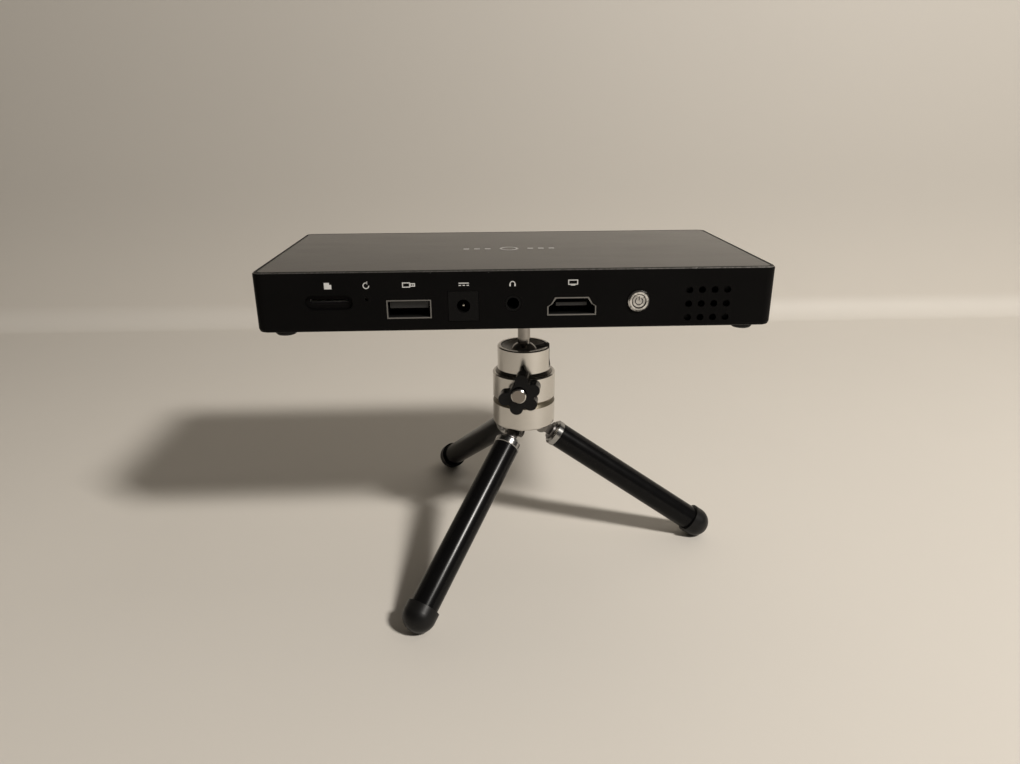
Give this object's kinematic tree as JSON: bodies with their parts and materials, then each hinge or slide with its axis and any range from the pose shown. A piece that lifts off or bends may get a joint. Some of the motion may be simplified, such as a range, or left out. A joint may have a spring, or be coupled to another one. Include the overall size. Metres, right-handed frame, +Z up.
{
  "type": "pocket projector on a mini tripod",
  "caption": "Flat black pocket projector with a row of ports along one long side, screwed to a small ball-head tripod with folding legs.",
  "frame": {"origin": "on the table, under the centre of the tripod's ball head", "axes": "+Z up, +X to the right along the row of ports, +Y from the ports towards the lens"},
  "size_m": [0.154, 0.1254, 0.1117],
  "materials": {
    "frame_black": "satin black",
    "panel_gloss": "dark glossy panel",
    "cover_black": "fine textured black",
    "pad_rubber": "matte rubber",
    "screw_steel": "black zinc",
    "insert_brass": "machined",
    "board_green": "solder mask",
    "port_steel": "nickel plated sheet",
    "port_plastic": "moulded black",
    "pin_brass": "nickel plated pin",
    "button_chrome": "polished",
    "speaker_black": "moulded black",
    "battery_wrap": "foil pouch",
    "engine_black": "black cast",
    "barrel_black": "black anodised",
    "lens_glass": "coated glass",
    "wheel_black": "knurled",
    "led_red": "red light source on its plate",
    "led_green": "green light source on its plate",
    "led_blue": "blue light source on its plate",
    "chip_grey": "mirror chip package",
    "sink_alu": "extruded",
    "ir_dark": "dark red window",
    "head_satin": "satin nickel",
    "ball_steel": "bright steel",
    "cup_nylon": "moulded",
    "lock_steel": "nickel plated",
    "knob_black": "moulded black",
    "tab_steel": "dark plated",
    "collar_chrome": "chrome plated",
    "tube_black": "gloss black",
    "cap_rubber": "moulded rubber"
  },
  "bodies": {
    "tripod_head": {"head_base": "head_satin", "head_housing": "head_satin", "hinge_pins": "lock_steel"},
    "clamp_cup": {"clamp_cup": "cup_nylon"},
    "ball_stud": {"ball_stud": "ball_steel"},
    "power_button": {"power_button": "button_chrome"},
    "reset_plunger": {"reset_plunger": "port_plastic"},
    "focus_wheel": {"focus_wheel": "wheel_black"},
    "lens_barrel": {"lens_barrel": "barrel_black", "lens_front": "lens_glass", "lens_rear": "lens_glass"},
    "fan_impeller": {"fan_impeller": "speaker_black"},
    "lock_screw": {"lock_screw": "lock_steel"},
    "lock_knob": {"lock_knob": "knob_black"},
    "leg_1": {"leg_tab_1": "tab_steel", "leg_collar_1": "collar_chrome", "leg_tube_1": "tube_black", "leg_foot_1": "cap_rubber"},
    "leg_2": {"leg_tab_2": "tab_steel", "leg_collar_2": "collar_chrome", "leg_tube_2": "tube_black", "leg_foot_2": "cap_rubber"},
    "leg_3": {"leg_tab_3": "tab_steel", "leg_collar_3": "collar_chrome", "leg_tube_3": "tube_black", "leg_foot_3": "cap_rubber"},
    "projector": {"middle_frame": "frame_black", "top_panel": "panel_gloss", "bottom_cover": "cover_black", "tripod_insert": "insert_brass", "cover_screws": "screw_steel", "main_board": "board_green", "board_screws": "screw_steel", "card_reader": "port_steel", "reset_switch": "port_plastic", "usb_shell": "port_steel", "usb_tongue": "port_plastic", "dc_jack": "port_plastic", "dc_pin": "pin_brass", "headphone_jack": "port_plastic", "hdmi_shell": "port_steel", "hdmi_tongue": "port_plastic", "power_switch": "port_plastic", "speaker": "speaker_black", "battery": "battery_wrap", "engine_housing": "engine_black", "lens_bezel": "frame_black", "led_red": "led_red", "led_green": "led_green", "led_blue": "led_blue", "mirror_chip": "chip_grey", "heat_sink": "sink_alu", "fan_housing": "speaker_black", "ir_window": "ir_dark", "case_foot_1": "pad_rubber", "case_foot_2": "pad_rubber", "case_foot_3": "pad_rubber", "case_foot_4": "pad_rubber"}
  },
  "joints": [
    {"name": "ball_swivel", "type": "hinge", "parent": "tripod_head", "child": "clamp_cup", "pos_m": [0, 0, 0.07246], "axis": [0, 0, 1], "range_deg": [-180, 0]},
    {"name": "ball_tilt", "type": "hinge", "parent": "clamp_cup", "child": "ball_stud", "pos_m": [0, 0, 0.07246], "axis": [0.1219, 0.9925, 0], "range_deg": [-25, 55]},
    {"name": "stud_turn", "type": "hinge", "parent": "ball_stud", "child": "projector", "pos_m": [0, 0, 0.09367], "axis": [0, 0, 1], "continuous": true},
    {"name": "power_press", "type": "slide", "parent": "projector", "child": "power_button", "axis": [0, 1, 0], "range_m": [0, 0.0004], "stiffness_N_per_m": 1500},
    {"name": "reset_press", "type": "slide", "parent": "projector", "child": "reset_plunger", "axis": [0, 1, 0], "range_m": [0, 0.0003], "stiffness_N_per_m": 1500},
    {"name": "focus_turn", "type": "hinge", "parent": "projector", "child": "focus_wheel", "pos_m": [0.0548, 0.0303, 0.09367], "axis": [0, 0, 1], "range_deg": [-90, 90]},
    {"name": "focus_slide", "type": "slide", "parent": "projector", "child": "lens_barrel", "axis": [0, 1, 0], "range_m": [-0.0008, 0.0008]},
    {"name": "fan_spin", "type": "hinge", "parent": "projector", "child": "fan_impeller", "pos_m": [-0.0016, 0.0195, 0.09367], "axis": [0, 0, 1], "continuous": true},
    {"name": "lock_travel", "type": "slide", "parent": "tripod_head", "child": "lock_screw", "axis": [-0.1564, -0.9877, 0], "range_m": [0, 0.0016]},
    {"name": "lock_turn", "type": "hinge", "parent": "lock_screw", "child": "lock_knob", "pos_m": [0, 0, 0.06477], "axis": [-0.1564, -0.9877, 0], "range_deg": [0, 720]},
    {"name": "leg_1_fold", "type": "hinge", "parent": "tripod_head", "child": "leg_1", "pos_m": [-0.00357, -0.00543, 0.04667], "axis": [0.8358, -0.549, 0], "range_deg": [0, 55.4]},
    {"name": "leg_2_fold", "type": "hinge", "parent": "tripod_head", "child": "leg_2", "pos_m": [0.00649, -0.00037, 0.04667], "axis": [0.0576, 0.9983, 0], "range_deg": [0, 55.4]},
    {"name": "leg_3_fold", "type": "hinge", "parent": "tripod_head", "child": "leg_3", "pos_m": [-0.00292, 0.00581, 0.04667], "axis": [-0.8934, -0.4493, 0], "range_deg": [0, 55.4]}
  ],
  "couplings": [
    {"joint": "focus_turn", "follows": "focus_slide", "rad_per_m": 1963.5},
    {"joint": "lock_turn", "follows": "lock_travel", "rad_per_m": 7854}
  ]
}
